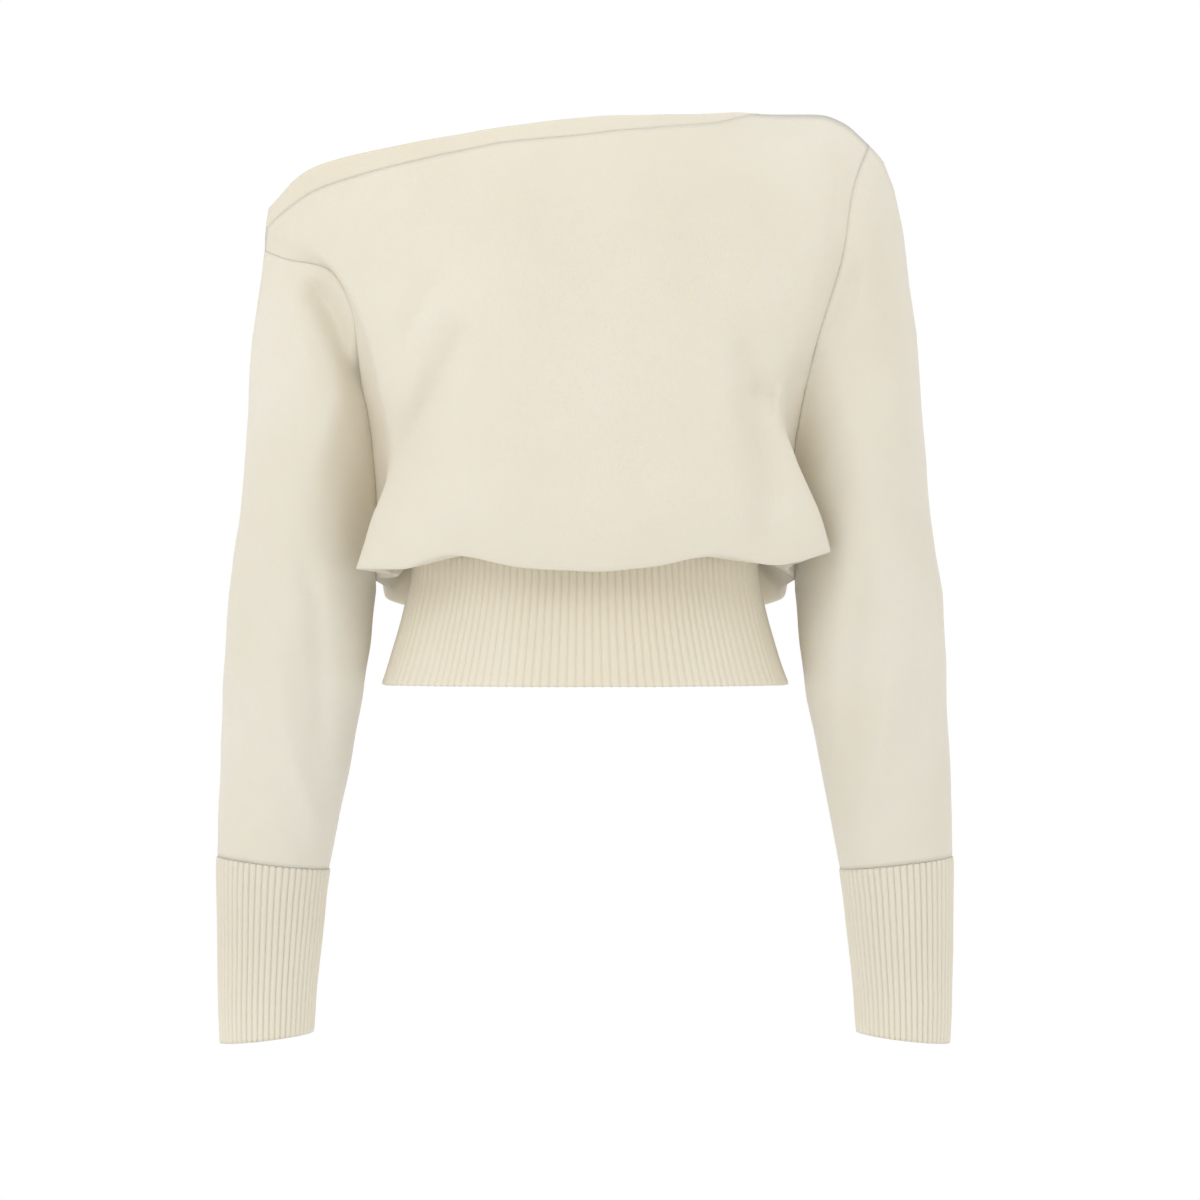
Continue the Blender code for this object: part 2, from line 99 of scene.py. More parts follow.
BACK_CENTRE = (
    (0, 66, -20), (0, 84, -50), (0, 93, -96), (0, 102, -140),
    (0, 111, -190), (0, 117, -240), (0, 121, -290), (0, 112, -326),
)
WAIST_ANGLES = (0, 10, 20, 42, 58, 74)  # degrees round the waist from the side seam, one for each column

# The waistband's rings, from the seam with the blouse down to the hem.
WAISTBAND = (
    # height, half width, half depth
    (-284, 110.5, 81.0),
    (-300, 111.6, 82.0),
    (-321, 116.0, 85.5),
    (-339, 121.0, 89.5),
    (-356, 126.0, 93.0),
    (-367.5, 130.0, 96.0),
)

BAND_DROP = 0.5  # how far the band's top stands under the middle of the cloth that is sewn to it
BAND_LAP = 2.2  # how far outside the band's own ring that cloth ends

# The neckband's free edge, from the left shoulder round the front; the seam edge is the panels' top.
NECK_EDGE_FRONT = ((98, 0, 0.5), (72, -34, -3.5), (38, -57, -6), (-4, -69, -9), (-50, -71, -15),
                   (-112, -65, -25), (-172, -44, -38), (-203, 0, -60))
NECK_EDGE_BACK = ((98, 0, 0.5), (72, 33, -3.5), (38, 52, -6), (-4, 60, -9), (-50, 62, -15),
                  (-112, 59, -25), (-172, 41, -38), (-203, 0, -60))

# The sleeves' outer and inner lines, seen from the front, for both arms.
OUTER_LINE = (
    # height, distance from the centre line
    (-20, 183), (-30, 192), (-48, 199), (-74, 204), (-109, 208), (-142, 213), (-191, 216), (-217, 218),
    (-262, 222), (-309, 229), (-355, 232), (-389, 233), (-455, 236), (-489, 236), (-573, 235), (-600, 234),
)
INNER_LINE = (
    (-300, 135), (-307, 135), (-342, 139), (-375, 144), (-390, 147), (-455, 159), (-484, 165), (-504, 168),
    (-533, 171), (-563, 174), (-592, 176),
)
# Rings of a sleeve, from the armhole seam to the cuff seam; they fan out from the underarm.
SLEEVE_RINGS = (
    # outer height on the left arm, on the right arm, inner height, depth to the front, to the back
    (-20, -88, -300, 50, 52),
    (-80, -125, -305, 51, 54),
    (-150, -175, -312, 52, 55),
    (-220, -228, -323, 50, 53),
    (-290, -290, -342, 47, 50),
    (-350, -350, -376, 44, 47),
    (-414, -414, -428, 41, 43),
    (-478, -478, -486, 38, 40),
)
CUFF_RINGS = (
    # outer height, inner height, depth to the front, to the back
    (-478, -486, 38, 40),
    (-510, -514, 36, 38),
    (-555, -553, 34, 36),
    (-598, -591, 33, 35),
)
SEAM_FADE = 3.6  # rings over which a sleeve leaves the armhole's outline for its own
PINCH = 0.8  # how far a sleeve's two layers close up at the underarm
WEDGE = 1.0  # how sharply they meet there, from round (0) to a wedge (1)
PINCH_FADE = 5.0  # rings over which they open again

ACROSS_STEPS = (2, 2, 3, 3, 2, 2)  # faces between one column and the next, seam to centre
DOWN_STEPS = 2  # faces between one section and the next
UNDER_STEPS = 3  # faces in the part turned under to the waistband


def along(table, at):
    """Points on a smooth curve through the table's rows, which never overshoots them; at counts rows."""
    rows = np.asarray(table, float)
    at = np.clip(np.asarray(at, float), 0, len(rows) - 1)
    steps = np.diff(rows, axis=0)
    before, after = steps[:-1], steps[1:]
    total = before + after
    same_way = before * after > 0
    inner = np.where(same_way, 2 * before * after / np.where(same_way, total, 1), 0)
    slopes = np.concatenate([steps[:1], inner, steps[-1:]])
    i = np.minimum(at.astype(int), len(rows) - 2)
    f = (at - i)[..., None]
    return (
        (2 * f**3 - 3 * f**2 + 1) * rows[i]
        + (f**3 - 2 * f**2 + f) * slopes[i]
        + (3 * f**2 - 2 * f**3) * rows[i + 1]
        + (f**3 - f**2) * slopes[i + 1]
    )


def soft_step(share):
    """0 up to 0, 1 from 1 on, and a smooth rise between."""
    share = np.clip(share, 0, 1)
    return share * share * (3 - 2 * share)


def at_height(line, heights):
    """How far a sleeve's outer or inner line is from the centre line at these heights."""
    table = np.asarray(line, float)[::-1]
    return np.interp(heights, table[:, 0], table[:, 1])


def waist_section(sign, facing):
    """The last section of half a panel, on the waistband's top ring, in the columns' order."""
    height, half_width, half_depth = WAISTBAND[0]
    width, depth = sign * (half_width + BAND_LAP), facing * (half_depth + BAND_LAP)
    return [(width * math.cos(a), depth * math.sin(a), height) for a in np.radians(WAIST_ANGLES)]


def panel_columns(right_side, centre, left_side, facing):
    """A panel's columns from the right side seam to the left one, each a line of points, top to bottom."""
    height, _, half_depth = WAISTBAND[0]
    right = [*right_side, waist_section(-1, facing)]
    left = [*left_side, waist_section(1, facing)]
    middle = [*centre, (0, facing * (half_depth + BAND_LAP), height)]
    columns = [[section[k] for section in right] for k in range(len(COLUMNS))]
    columns.append(middle)
    columns += [[section[k] for section in left] for k in reversed(range(len(COLUMNS)))]
    return columns


FRONT = panel_columns(FRONT_RIGHT_SIDE, FRONT_CENTRE, FRONT_LEFT_SIDE, -1)
BACK = panel_columns(BACK_RIGHT_SIDE, BACK_CENTRE, BACK_LEFT_SIDE, 1)
UNDERARM = len(FRONT_CENTRE) - 1  # the section at the underarm and the blouse's lowest line
NECK_FROM = COLUMNS.index("fold")  # the neckband's ends, counted in columns from the right side seam
NECK_TO = len(FRONT) - 1 - COLUMNS.index("outer")


def side_seam(column, down):
    """A side column: the armhole seam to the underarm, then a straight run in to the waistband."""
    armhole = along(column[: UNDERARM + 1], np.minimum(down, UNDERARM))
    under = np.clip(down - UNDERARM, 0, 1)[:, None]
    return armhole + under * (np.asarray(column[-1], float) - armhole)


def panel(columns, across, down):
    """Points of a panel at these columns and sections, as a grid with a row for each section."""
    lines = [along(column, down) for column in columns]
    lines[0] = side_seam(columns[0], down)
    lines[-1] = side_seam(columns[-1], down)
    lines = np.array(lines)
    return np.array([along(lines[:, k], across) for k in range(len(down))])


def sleeve(sign, round_front, rings):
    """Points of a sleeve: a row for each ring, from the outer line round the front, inside and back."""
    table = along(SLEEVE_RINGS, rings)
    outer_z = table[:, 0] if sign > 0 else table[:, 1]
    start = np.asarray(SLEEVE_RINGS[0], float)
    seam_at = -1 if sign > 0 else 0
    front_seam = side_seam(FRONT[seam_at], round_front * UNDERARM)
    back_seam = side_seam(BACK[seam_at], round_front * UNDERARM)
    fade = soft_step(1 - rings / SEAM_FADE)
    closing = soft_step(1 - rings / PINCH_FADE)

    def half(outer, inner, depth, closed):
        outer_x, inner_x = at_height(OUTER_LINE, outer), at_height(INNER_LINE, inner)
        wedge = WEDGE * closed[:, None] * round_front
        share = (1 - np.cos(math.pi * round_front)) / 2 * (1 - wedge) + round_front * wedge
        x = outer_x[:, None] + (inner_x - outer_x)[:, None] * share
        z = outer[:, None] + (inner - outer)[:, None] * share
        pinch = 1 - PINCH * closed[:, None] * share * share
        y = depth[:, None] * np.sin(math.pi * round_front) * pinch
        return np.stack([sign * x, y, z], axis=2)

    halves = []
    for seam, column, facing in ((front_seam, 3, -1), (back_seam, 4, 1)):
        own = half(outer_z, table[:, 2], facing * table[:, column], closing)
        first_outer = start[0:1] if sign > 0 else start[1:2]
        first = half(first_outer, start[2:3], facing * start[column : column + 1], closing[:1])[0]
        halves.append(own + fade[:, None, None] * (seam - first)[None])
    front_half, back_half = halves
    return np.concatenate([front_half[:, :-1], back_half[:, :0:-1]], axis=1)


def cuff(sign, round_front, rings):
    """Points of a cuff, ordered as the sleeve's last ring is."""
    outer, inner, front, back = along(CUFF_RINGS, rings).T[:, :, None]
    share = (1 - np.cos(math.pi * round_front)) / 2
    swell = np.sin(math.pi * round_front)
    outer_x, inner_x = at_height(OUTER_LINE, outer), at_height(INNER_LINE, inner)
    x = sign * (outer_x + (inner_x - outer_x) * share)
    z = outer + (inner - outer) * share
    front_half = np.stack([x, -front * swell, z], axis=2)
    back_half = np.stack([x, back * swell, z], axis=2)
    return np.concatenate([front_half[:, :-1], back_half[:, :0:-1]], axis=1)


def waistband(across, rings):
    """Points of the waistband: rings of its top outline, widened as they go down."""
    end = np.array([len(FRONT_CENTRE)], float)
    front = panel(FRONT, across, end)[0]
    back = panel(BACK, across, end)[0]
    outline = np.concatenate([front, back[-2:0:-1]])
    height, half_width, half_depth = along(WAISTBAND, rings).T
    height[0] -= BAND_DROP
    _, first_width, first_depth = WAISTBAND[0]
    return np.stack(
        [
            outline[None, :, 0] * (half_width / (first_width + BAND_LAP))[:, None],
            outline[None, :, 1] * (half_depth / (first_depth + BAND_LAP))[:, None],
            np.repeat(height[:, None], len(outline), axis=1),
        ],
        axis=2,
    )


def neckband(across, rings):
    """Points of the neckband: a row along the seam with both panels, then rows up to the free edge."""
    inside = (across >= NECK_FROM) & (across <= NECK_TO)
    at = across[inside]
    top = np.zeros(1)
    seam_front, seam_back = panel(FRONT, at, top)[0], panel(BACK, at, top)[0]
    edge_front = along(NECK_EDGE_FRONT[::-1], at - NECK_FROM)
    edge_back = along(NECK_EDGE_BACK[::-1], at - NECK_FROM)
    seam = np.concatenate([seam_front, seam_back[-2:0:-1]])
    edge = np.concatenate([edge_front, edge_back[-2:0:-1]])
    share = np.asarray(rings, float)[:, None, None]
    return seam[None] + share * (edge - seam)[None]


def corner_distance(points):
    """0 at a side corner (the underarm, or the waistband's side), 1 from CORNER_REACH away."""
    corners = [column[k] for column in (FRONT[0], FRONT[-1]) for k in (UNDERARM, UNDERARM + 1)]
    reach = np.min([np.linalg.norm(points - np.array(corner), axis=-1) for corner in corners], axis=0)
    return soft_step(reach / CORNER_REACH)


def grid_normals(points, loops, turned):
    """Unit normals of a grid of points; turned swaps the side that faces out."""
    if loops:
        across = np.roll(points, -1, axis=1) - np.roll(points, 1, axis=1)
    else:
        across = np.gradient(points, axis=1)
    down = np.gradient(points, axis=0)
    normals = np.cross(down, across) * (-1 if turned else 1)
    return normals / np.maximum(np.linalg.norm(normals, axis=2, keepdims=True), 1e-9)


def seam_key(point):
    """Points of two pieces on one seam share this key."""
    return tuple(np.round(point * 10).astype(int))


def edge_places(shape, loops):
    """Grid places on a piece's edges, each with the neighbour that lies inwards from it."""
    rows, columns = shape
    for j in range(columns):
        side = 0 if loops else (1 if j == 0 else -1 if j == columns - 1 else 0)
        yield (0, j), (1, (j + side) % columns)
        yield (rows - 1, j), (rows - 2, (j + side) % columns)
    if not loops:
        for i in range(1, rows - 1):
            yield (i, 0), (i, 1)
            yield (i, columns - 1), (i, columns - 2)


def share_seam_normals(pieces):
    """Pieces that meet at a seam get one normal there, so that their edges are mitred, not crossed."""
    sums, meeting = {}, {}
    for piece in pieces:
        for place, _ in edge_places(piece["points"].shape[:2], piece["loops"]):
            key = seam_key(piece["points"][place])
            sums[key] = sums.get(key, 0) + piece["normals"][place]
            meeting.setdefault(key, set()).add(piece["name"])
    for piece in pieces:
        piece["pull"] = {}
        for place, _ in edge_places(piece["points"].shape[:2], piece["loops"]):
            key = seam_key(piece["points"][place])
            shared = sums[key] / max(np.linalg.norm(sums[key]), 1e-9)
            bend = 1 - float(shared @ piece["normals"][place])
            near = 1 if len(meeting[key]) > 2 else 1 - corner_distance(piece["points"][place])
            far = 1 + (CORNER_PULL - 1) * near
            piece["pull"][place] = EDGE_PULL * (far + SHARP_PULL * bend) * piece["room"]
            piece["normals"][place] = shared


def pull_edges(piece):
    """Moves each edge back from its seam line, along the cloth."""
    points = piece["points"]
    moved = points.copy()
    for place, inwards in edge_places(points.shape[:2], piece["loops"]):
        step = points[inwards] - points[place]
        step -= piece["normals"][place] * (step @ piece["normals"][place])
        moved[place] = points[place] + step * (piece["pull"][place] / max(np.linalg.norm(step), 1e-9))
    piece["points"] = moved


def wall_faces(rows, columns, loops, turned):
    """Faces of a closed wall: the outer grid, then the inner grid, then the rims between them."""
    last = columns if loops else columns - 1
    size = rows * columns

    def place(i, j, inner=0):
        return inner * size + i * columns + j % columns

    faces = []
    for i in range(rows - 1):
        for j in range(last):
            outer = [place(i, j), place(i + 1, j), place(i + 1, j + 1), place(i, j + 1)]
            faces.append(outer)
            faces.append([p + size for p in reversed(outer)])
    for j in range(last):
        faces.append([place(0, j), place(0, j + 1), place(0, j + 1, 1), place(0, j, 1)])
        bottom = rows - 1
        faces.append([place(bottom, j + 1), place(bottom, j), place(bottom, j, 1), place(bottom, j + 1, 1)])
    if not loops:
        right = columns - 1
        for i in range(rows - 1):
            faces.append([place(i + 1, 0), place(i, 0), place(i, 0, 1), place(i + 1, 0, 1)])
            faces.append([place(i, right), place(i + 1, right), place(i + 1, right, 1), place(i, right, 1)])
    return [face[::-1] for face in faces] if turned else faces


def grid_normals(points, loops, turned):
    """Unit normals of a grid of points; turned swaps the side that faces out."""
    if loops:
        across = np.roll(points, -1, axis=1) - np.roll(points, 1, axis=1)
    else:
        across = np.gradient(points, axis=1)
    down = np.gradient(points, axis=0)
    normals = np.cross(down, across) * (-1 if turned else 1)
    return normals / np.maximum(np.linalg.norm(normals, axis=2, keepdims=True), 1e-9)


def seam_key(point):
    """Points of two pieces on one seam share this key."""
    return tuple(np.round(point * 10).astype(int))


def edge_places(shape, loops):
    """Grid places on a piece's edges, each with the neighbour that lies inwards from it."""
    rows, columns = shape
    for j in range(columns):
        side = 0 if loops else (1 if j == 0 else -1 if j == columns - 1 else 0)
        yield (0, j), (1, (j + side) % columns)
        yield (rows - 1, j), (rows - 2, (j + side) % columns)
    if not loops:
        for i in range(1, rows - 1):
            yield (i, 0), (i, 1)
            yield (i, columns - 1), (i, columns - 2)


def share_seam_normals(pieces):
    """Pieces that meet at a seam get one normal there, so that their edges are mitred, not crossed."""
    sums, meeting = {}, {}
    for piece in pieces:
        for place, _ in edge_places(piece["points"].shape[:2], piece["loops"]):
            key = seam_key(piece["points"][place])
            sums[key] = sums.get(key, 0) + piece["normals"][place]
            meeting.setdefault(key, set()).add(piece["name"])
    for piece in pieces:
        piece["pull"] = {}
        for place, _ in edge_places(piece["points"].shape[:2], piece["loops"]):
            key = seam_key(piece["points"][place])
            shared = sums[key] / max(np.linalg.norm(sums[key]), 1e-9)
            bend = 1 - float(shared @ piece["normals"][place])
            near = 1 if len(meeting[key]) > 2 else 1 - corner_distance(piece["points"][place])
            far = 1 + (CORNER_PULL - 1) * near
            piece["pull"][place] = EDGE_PULL * (far + SHARP_PULL * bend) * piece["room"]
            piece["normals"][place] = shared


def pull_edges(piece):
    """Moves each edge back from its seam line, along the cloth."""
    points = piece["points"]
    moved = points.copy()
    for place, inwards in edge_places(points.shape[:2], piece["loops"]):
        step = points[inwards] - points[place]
        step -= piece["normals"][place] * (step @ piece["normals"][place])
        moved[place] = points[place] + step * (piece["pull"][place] / max(np.linalg.norm(step), 1e-9))
    piece["points"] = moved


def wall_faces(rows, columns, loops, turned):
    """Faces of a closed wall: the outer grid, then the inner grid, then the rims between them."""
    last = columns if loops else columns - 1
    size = rows * columns

    def place(i, j, inner=0):
        return inner * size + i * columns + j % columns

    faces = []
    for i in range(rows - 1):
        for j in range(last):
            outer = [place(i, j), place(i + 1, j), place(i + 1, j + 1), place(i, j + 1)]
            faces.append(outer)
            faces.append([p + size for p in reversed(outer)])
    for j in range(last):
        faces.append([place(0, j), place(0, j + 1), place(0, j + 1, 1), place(0, j, 1)])
        bottom = rows - 1
        faces.append([place(bottom, j + 1), place(bottom, j), place(bottom, j, 1), place(bottom, j + 1, 1)])
    if not loops:
        right = columns - 1
        for i in range(rows - 1):
            faces.append([place(i + 1, 0), place(i, 0), place(i, 0, 1), place(i + 1, 0, 1)])
            faces.append([place(i, right), place(i + 1, right), place(i + 1, right, 1), place(i, right, 1)])
    return [face[::-1] for face in faces] if turned else faces


def half_wall(points):
    """Half the cloth's thickness at each point, less near the side corners."""
    share = CORNER_WALL + (1 - CORNER_WALL) * corner_distance(points)
    return WALL / 2 * share[..., None]


def steps_between(counts):
    """Places from 0 up, in whole columns, each split into as many steps as its count says."""
    places = [k + step / count for k, count in enumerate(counts) for step in range(count)]
    return np.array([*places, len(counts)], float)




# ---------------------------------------------------------------- fine grids

FRONT_ROWS = 8  # rows of faces between one section and the next
FRONT_TURN_ROWS = 14
ACROSS_FINE = (10, 12, 14, 16, 14, 14)
SLEEVE_FINE = 16


def crease_amount(path, width, points_x, points_z):
    """Distance to a crease's line, over its width, and the place along it from 0 to 1."""
    line = along(path, np.linspace(0, len(path) - 1, 6 * len(path)))
    best = np.full(points_x.shape, np.inf)
    place = np.zeros(points_x.shape)
    for k in range(len(line) - 1):
        ax, az = line[k]
        dx, dz = line[k + 1] - line[k]
        length2 = dx * dx + dz * dz
        f = np.clip(((points_x - ax) * dx + (points_z - az) * dz) / length2, 0, 1)
        d = np.hypot(points_x - ax - f * dx, points_z - az - f * dz)
        nearer = d < best
        best = np.where(nearer, d, best)
        place = np.where(nearer, (k + f) / (len(line) - 1), place)
    return best / width, place


# Creases seen from the front: pieces, depth (troughs below 0), half width, and the line from end to end.
CREASES = (
    ("front", -4.0, 7.0, ((-86, -106), (-99, -119), (-108, -137), (-116, -160))),
    ("front", -7.0, 8.5, ((-84, -128), (-79, -146), (-85, -166), (-97, -188), (-110, -212), (-126, -242))),
    ("front", 3.5, 7.0, ((-94, -128), (-101, -152), (-107, -176), (-114, -204))),
    ("front", -6.5, 9.0, ((97, -140), (101, -163), (107, -186), (113, -216), (117, -250), (118, -286))),
    ("front", -5.0, 8.0, ((101, -178), (112, -184), (122, -187))),
    ("front", -3.0, 4.5, ((120, -177), (131, -169), (142, -163))),
    ("front", 2.5, 9.0, ((84, -168), (92, -205), (97, -250), (98, -280))),
    ("sleeve_left", -3.5, 6.0, ((177, -98), (166, -122), (154, -150))),
    ("sleeve_left", -3.0, 7.0, ((199, -62), (193, -95), (184, -132))),
    ("sleeve_right", -13.0, 9.0, ((-180, -104), (-163, -126), (-151, -156), (-143, -190))),
    ("sleeve_right", 2.5, 7.0, ((-192, -110), (-180, -150), (-166, -196))),
    ("sleeve_left", -3.2, 8.0, ((186, -270), (172, -325), (169, -382), (168, -440))),
    ("sleeve_right", -3.2, 8.0, ((-185, -270), (-171, -325), (-169, -382), (-168, -440))),
    ("sleeve_left", -2.4, 7.0, ((210, -230), (216, -290), (214, -370), (206, -430))),
    ("sleeve_right", -2.4, 7.0, ((-211, -240), (-217, -300), (-215, -372), (-207, -430))),
    ("sleeve_left", 2.4, 7.0, ((198, -300), (190, -400), (176, -446), (168, -478))),
    ("sleeve_right", 2.4, 7.0, ((-198, -300), (-190, -400), (-175, -446), (-168, -478))),
)
BACK_CREASES = (
    ("back", -4.0, 10.0, ((-130, -120), (-112, -160), (-104, -210), (-100, -260))),
    ("back", -4.5, 9.0, ((132, -116), (116, -158), (106, -206), (103, -262))),
    ("back", 3.0, 9.0, ((-112, -112), (-94, -160), (-84, -214))),
    ("back", 3.0, 9.0, ((112, -104), (96, -156), (88, -216))),
    ("back", -2.2, 12.0, ((-40, -180), (-46, -240), (-44, -300))),
    ("back", -2.0, 12.0, ((34, -160), (40, -230), (46, -304))),
    ("sleeve_left", -3.5, 8.0, ((196, -160), (184, -230), (178, -300), (176, -400))),
    ("sleeve_right", -3.5, 8.0, ((-196, -170), (-184, -236), (-178, -300), (-176, -400))),
    ("sleeve_left", 2.4, 8.0, ((210, -200), (200, -300), (194, -420))),
    ("sleeve_right", 2.4, 8.0, ((-210, -205), (-200, -300), (-194, -420))),
)
SIDE_SOFTNESS = 9.0  # depth over which a crease fades where the cloth turns to the side


def add_creases(name, points):
    """Presses this piece's creases into the middle of its cloth."""
    moved = points.copy()
    for creases, facing in ((CREASES, -1), (BACK_CREASES, 1)):
        turn = soft_step(facing * points[..., 1] / SIDE_SOFTNESS)
        for piece, depth, width, path in creases:
            if piece != name:
                continue
            away, place = crease_amount(path, width, points[..., 0], points[..., 2])
            ends = soft_step(4 * place) * soft_step(4 * (1 - place))
            moved[..., 1] += facing * depth * np.exp(-away * away) * ends * turn
    return moved


def soft_waves(points):
    """Small, uneven rises and falls, as knit cloth has, in millimetres."""
    x, y, z = points[..., 0], points[..., 1], points[..., 2]
    return (
        0.30 * np.sin(x / 11.0 + 1.3 * np.sin(z / 37.0) + 0.4)
        + 0.25 * np.sin(z / 17.0 + 1.1 * np.sin(x / 29.0) + y / 40.0)
        + 0.18 * np.sin((x + z) / 8.0 + 2.0 * np.sin((x - z) / 53.0))
    )


def rib_wave(count, columns):
    """A row of ribs round a closed ring: broad ribs with narrow grooves between them."""
    turn = np.arange(columns) / columns * count
    phase = np.abs((turn % 1) - 0.5) * 2
    return 1 - np.power(phase, 3.0) * 1.9


def grid_uv(points, loops):
    """A coordinate for each grid point: metres along the courses and metres along the wales."""
    closed = np.concatenate([points, points[:, :1]], axis=1) if loops else points
    across = np.linalg.norm(np.diff(closed, axis=1), axis=2).mean(axis=0)
    down = np.linalg.norm(np.diff(closed, axis=0), axis=2).mean(axis=1)
    u = np.concatenate([[0], np.cumsum(across)]) * MM
    v = np.concatenate([[0], np.cumsum(down)]) * MM
    return u, v


def cloth_piece(piece):
    """A fine closed wall in the node's place, with a knit coordinate."""
    points, loops = piece["points"], piece["loops"]
    rows, columns = points.shape[:2]
    edge = np.ones((rows, 1))
    edge[0] = edge[-1] = EDGE_THIN
    half = (SHOWN_WALL / 2 * edge * np.ones(columns))[..., None]
    half = half * (CORNER_WALL + (1 - CORNER_WALL) * corner_distance(points))[..., None]
    relief = piece["relief"][..., None] if piece["relief"] is not None else 0.0
    outer = points + piece["normals"] * (half + relief)
    inner = points - piece["normals"] * (half - relief)
    vertices = np.concatenate([outer.reshape(-1, 3), inner.reshape(-1, 3)]) * MM
    faces = wall_faces(rows, columns, loops, piece["turned"])
    mesh = bpy.data.meshes.new(piece["name"] + "_knit")
    mesh.from_pydata(vertices.tolist(), [], faces)
    u, v = grid_uv(points, loops)
    layer = mesh.uv_layers.new(name="Knit")
    corner = np.zeros(len(mesh.loops), np.int32)
    mesh.loops.foreach_get("vertex_index", corner)
    place = corner % (rows * columns)
    column, row = place % columns, place // columns
    if loops:
        starts = np.zeros(len(mesh.polygons), np.int32)
        totals = np.zeros(len(mesh.polygons), np.int32)
        mesh.polygons.foreach_get("loop_start", starts)
        mesh.polygons.foreach_get("loop_total", totals)
        face = np.repeat(np.arange(len(starts)), totals)
        wraps = np.zeros(len(starts), bool)
        np.logical_or.at(wraps, face, column == columns - 1)
        first = np.zeros(len(starts), bool)
        np.logical_or.at(first, face, column == 0)
        column = np.where((wraps & first)[face] & (column == 0), columns, column)
    layer.data.foreach_set("uv", np.stack([u[column], v[row]], axis=1).astype(np.float32).ravel())
    mesh.materials.append(piece["material"])
    mesh.shade_smooth()
    made = bpy.data.objects.new(piece["name"] + "_knit", mesh)
    bpy.context.scene.collection.objects.link(made)
    return made


# ---------------------------------------------------------------- materials

def math_node(nodes, links, operation, first, second=None, third=None):
    node = nodes.new("ShaderNodeMath")
    node.operation = operation
    for k, value in enumerate((first, second, third)):
        if value is None:
            continue
        if isinstance(value, (int, float)):
            node.inputs[k].default_value = value
        else:
            links.new(value, node.inputs[k])
    return node.outputs[0]


def knit(name, colour, tone_and_groove_shade, wale, course, relief, ribbed=False):
    """Stockinette: V-shaped stitches in wales, a soft nap, slow changes of tone, and painted shade in the grooves
    between stitches.
    """
    material = bpy.data.materials.new(name)
    material.use_nodes = True
    nodes, links = material.node_tree.nodes, material.node_tree.links
    shader = nodes["Principled BSDF"]
    shader.inputs["Roughness"].default_value = 0.88
    shader.inputs["Sheen Weight"].default_value = 0.12
    shader.inputs["Sheen Roughness"].default_value = 0.5
    shader.inputs["Specular IOR Level"].default_value = 0.2
    shader.inputs["Subsurface Weight"].default_value = 0.25
    shader.inputs["Subsurface Radius"].default_value = (1.0, 0.72, 0.42)
    shader.inputs["Subsurface Scale"].default_value = 0.006
    uv = nodes.new("ShaderNodeUVMap")
    uv.uv_map = "Knit"
    split = nodes.new("ShaderNodeSeparateXYZ")
    links.new(uv.outputs[0], split.inputs[0])
    u = math_node(nodes, links, "DIVIDE", split.outputs[0], wale)
    v = math_node(nodes, links, "DIVIDE", split.outputs[1], course)
    # the two legs of each stitch lean towards the middle of its wale
    saw = math_node(nodes, links, "PINGPONG", u, 0.5)
    lean = math_node(nodes, links, "MULTIPLY", saw, 1.6)
    leg = math_node(nodes, links, "ADD", v, lean)
    loop = math_node(nodes, links, "PINGPONG", leg, 0.5)
    groove = math_node(nodes, links, "SUBTRACT", 0.5, math_node(nodes, links, "ABSOLUTE",
                       math_node(nodes, links, "SUBTRACT", saw, 0.25)))
    stitch = math_node(nodes, links, "MULTIPLY", groove, math_node(nodes, links, "ADD", loop, 0.35))
    coordinates = nodes.new("ShaderNodeTexCoord")
    fuzz = nodes.new("ShaderNodeTexNoise")
    fuzz.inputs["Scale"].default_value = 900
    fuzz.inputs["Detail"].default_value = 3
    links.new(coordinates.outputs["Object"], fuzz.inputs["Vector"])
    height = math_node(nodes, links, "ADD", stitch, math_node(nodes, links, "MULTIPLY", fuzz.outputs[0], 0.5))
    bump = nodes.new("ShaderNodeBump")
    bump.inputs["Strength"].default_value = relief
    bump.inputs["Distance"].default_value = 0.0006
    links.new(height, bump.inputs["Height"])
    links.new(bump.outputs[0], shader.inputs["Normal"])
    tone = nodes.new("ShaderNodeTexNoise")
    tone.inputs["Scale"].default_value = 9
    tone.inputs["Detail"].default_value = 4
    links.new(coordinates.outputs["Object"], tone.inputs["Vector"])
    # the colour runs to its darker, warmer end in two ways: with the slow tone noise, which is random tone, and where
    # the stitch pattern is low, which is painted shade in the grooves between stitches
    share = math_node(nodes, links, "ADD", math_node(nodes, links, "MULTIPLY", tone.outputs[0], 0.5),
                      math_node(nodes, links, "MULTIPLY", stitch, 0.5))
    ramp = nodes.new("ShaderNodeValToRGB")
    ramp.color_ramp.elements[0].position = 0.25
    ramp.color_ramp.elements[0].color = (*tone_and_groove_shade, 1)
    ramp.color_ramp.elements[1].position = 0.6
    ramp.color_ramp.elements[1].color = (*colour, 1)
    links.new(share, ramp.inputs[0])
    links.new(ramp.outputs[0], shader.inputs["Base Color"])
    rough = math_node(nodes, links, "ADD", math_node(nodes, links, "MULTIPLY", fuzz.outputs[0], 0.1), 0.82)
    links.new(rough, shader.inputs["Roughness"])
    return material


# ---------------------------------------------------------------- the pieces

SHOWN_WALL = 1.5
EDGE_THIN = 0.6
CUFF_RIBS = 52
BAND_RIBS = 156
NECK_RIBS = 0
EDGE_PULL = 0.06
SHARP_PULL = 1.0
CORNER_PULL = 1.0


def fine_steps(counts):
    return steps_between(counts)


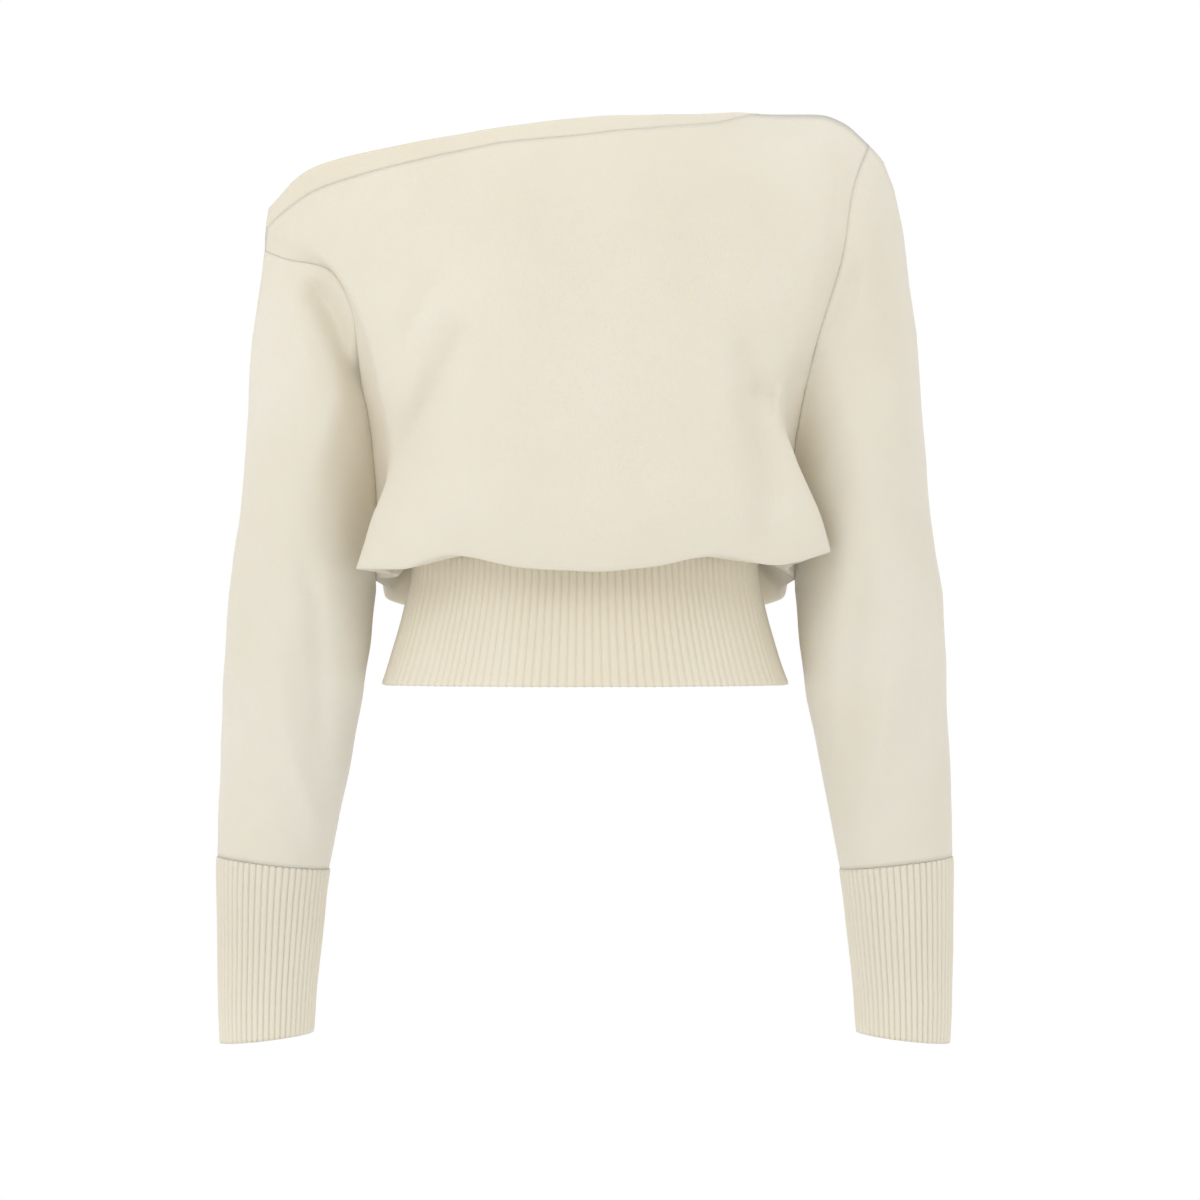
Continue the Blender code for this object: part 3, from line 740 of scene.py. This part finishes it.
def shown_pieces():
    across = steps_between([*ACROSS_FINE, *reversed(ACROSS_FINE)])
    armhole = steps_between([FRONT_ROWS] * UNDERARM)
    down = np.concatenate([armhole[:-1], UNDERARM + steps_between([FRONT_TURN_ROWS])])
    round_front = armhole / UNDERARM
    rings = steps_between([SLEEVE_FINE] * (len(SLEEVE_RINGS) - 1))
    cuff_round = np.linspace(0, 1, CUFF_RIBS * 4 + 1)
    cuff_rings = steps_between([16] * (len(CUFF_RINGS) - 1))
    band_across = np.linspace(0, len(FRONT) - 1, BAND_RIBS * 3 + 1)
    band_rings = steps_between([7] * (len(WAISTBAND) - 1))
    neck_across = steps_between([8] * (len(FRONT) - 1))
    # the second colour of each knit is its darker tone and also the painted shade in its stitch grooves
    jersey = knit("cream_jersey", (0.80, 0.755, 0.655), (0.74, 0.68, 0.56), 0.0017, 0.0013, 0.35)
    rib = knit("cream_rib", (0.80, 0.755, 0.645), (0.73, 0.665, 0.54), 0.0021, 0.0013, 0.3, True)
    rows = (
        ("front", panel(FRONT, across, down), False, False, 1, jersey),
        ("back", panel(BACK, across, down), False, True, 1, jersey),
        ("sleeve_left", sleeve(1, round_front, rings), True, True, 1, jersey),
        ("sleeve_right", sleeve(-1, round_front, rings), True, False, 1, jersey),
        ("cuff_left", cuff(1, cuff_round, cuff_rings), True, True, 1, rib),
        ("cuff_right", cuff(-1, cuff_round, cuff_rings), True, False, 1, rib),
        ("waistband", waistband(band_across, band_rings), True, False, 1, rib),
        ("neckband", neckband(neck_across, np.linspace(0, 1, 9)), True, True, 1, rib),
    )
    names = ("name", "points", "loops", "turned", "room", "material")
    pieces = [dict(zip(names, row)) for row in rows]
    for piece in pieces:
        points = add_creases(piece["name"], piece["points"])
        piece["points"] = points
        piece["normals"] = grid_normals(points, piece["loops"], piece["turned"])
        piece["relief"] = soft_waves(points)
    ribs = {"cuff_left": (CUFF_RIBS, 0.75), "cuff_right": (CUFF_RIBS, 0.75), "waistband": (BAND_RIBS, 0.6)}
    for piece in pieces:
        if piece["name"] in ribs:
            count, depth = ribs[piece["name"]]
            columns = piece["points"].shape[1]
            piece["relief"] = piece["relief"] * 0.5 + depth * rib_wave(count, columns)[None, :]
    return pieces


def build_sweater():
    pieces = shown_pieces()
    share_seam_normals(pieces)
    for piece in pieces:
        pull_edges(piece)
        made = cloth_piece(piece)
        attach(made, "root")
        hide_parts(piece["name"])


def add_light(name, place, aim, size, watts):
    data = bpy.data.lights.new(name, "AREA")
    data.size = size
    data.energy = watts
    light = bpy.data.objects.new(name, data)
    light.location = place
    light.rotation_euler = (Vector(aim) - Vector(place)).to_track_quat("-Z", "Y").to_euler()
    bpy.context.scene.collection.objects.link(light)


def set_stage():
    scene = bpy.context.scene
    scene.view_settings.view_transform = "Standard"
    scene.view_settings.look = "None"
    world = bpy.data.worlds.new("studio")
    world.use_nodes = True
    world.node_tree.nodes["Background"].inputs[0].default_value = (1, 1, 1, 1)
    world.node_tree.nodes["Background"].inputs[1].default_value = 1.0
    scene.world = world
    floor_mesh = bpy.data.meshes.new("floor")
    reach, level = 2.0, -1.35
    corners = [(-reach, -reach, level), (reach, -reach, level), (reach, reach, level), (-reach, reach, level)]
    floor_mesh.from_pydata(corners, [], [(0, 1, 2, 3)])
    floor_material = bpy.data.materials.new("pale_floor")
    floor_material.use_nodes = True
    floor_material.node_tree.nodes["Principled BSDF"].inputs["Base Color"].default_value = (0.9, 0.9, 0.9, 1)
    floor_mesh.materials.append(floor_material)
    floor = bpy.data.objects.new("floor", floor_mesh)
    scene.collection.objects.link(floor)
    add_light("key", (-1.2, -2.6, 1.2), (0, 0, -0.3), 1.6, 14)
    camera_data = bpy.data.cameras.new("camera")
    camera_data.lens = 149
    camera_data.sensor_width = 36
    camera = bpy.data.objects.new("camera", camera_data)
    camera.location = (0.0097, -3.2, -0.313)
    camera.rotation_euler = (math.pi / 2, 0, 0)
    scene.collection.objects.link(camera)
    scene.camera = camera


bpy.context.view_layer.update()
build_sweater()
set_stage()
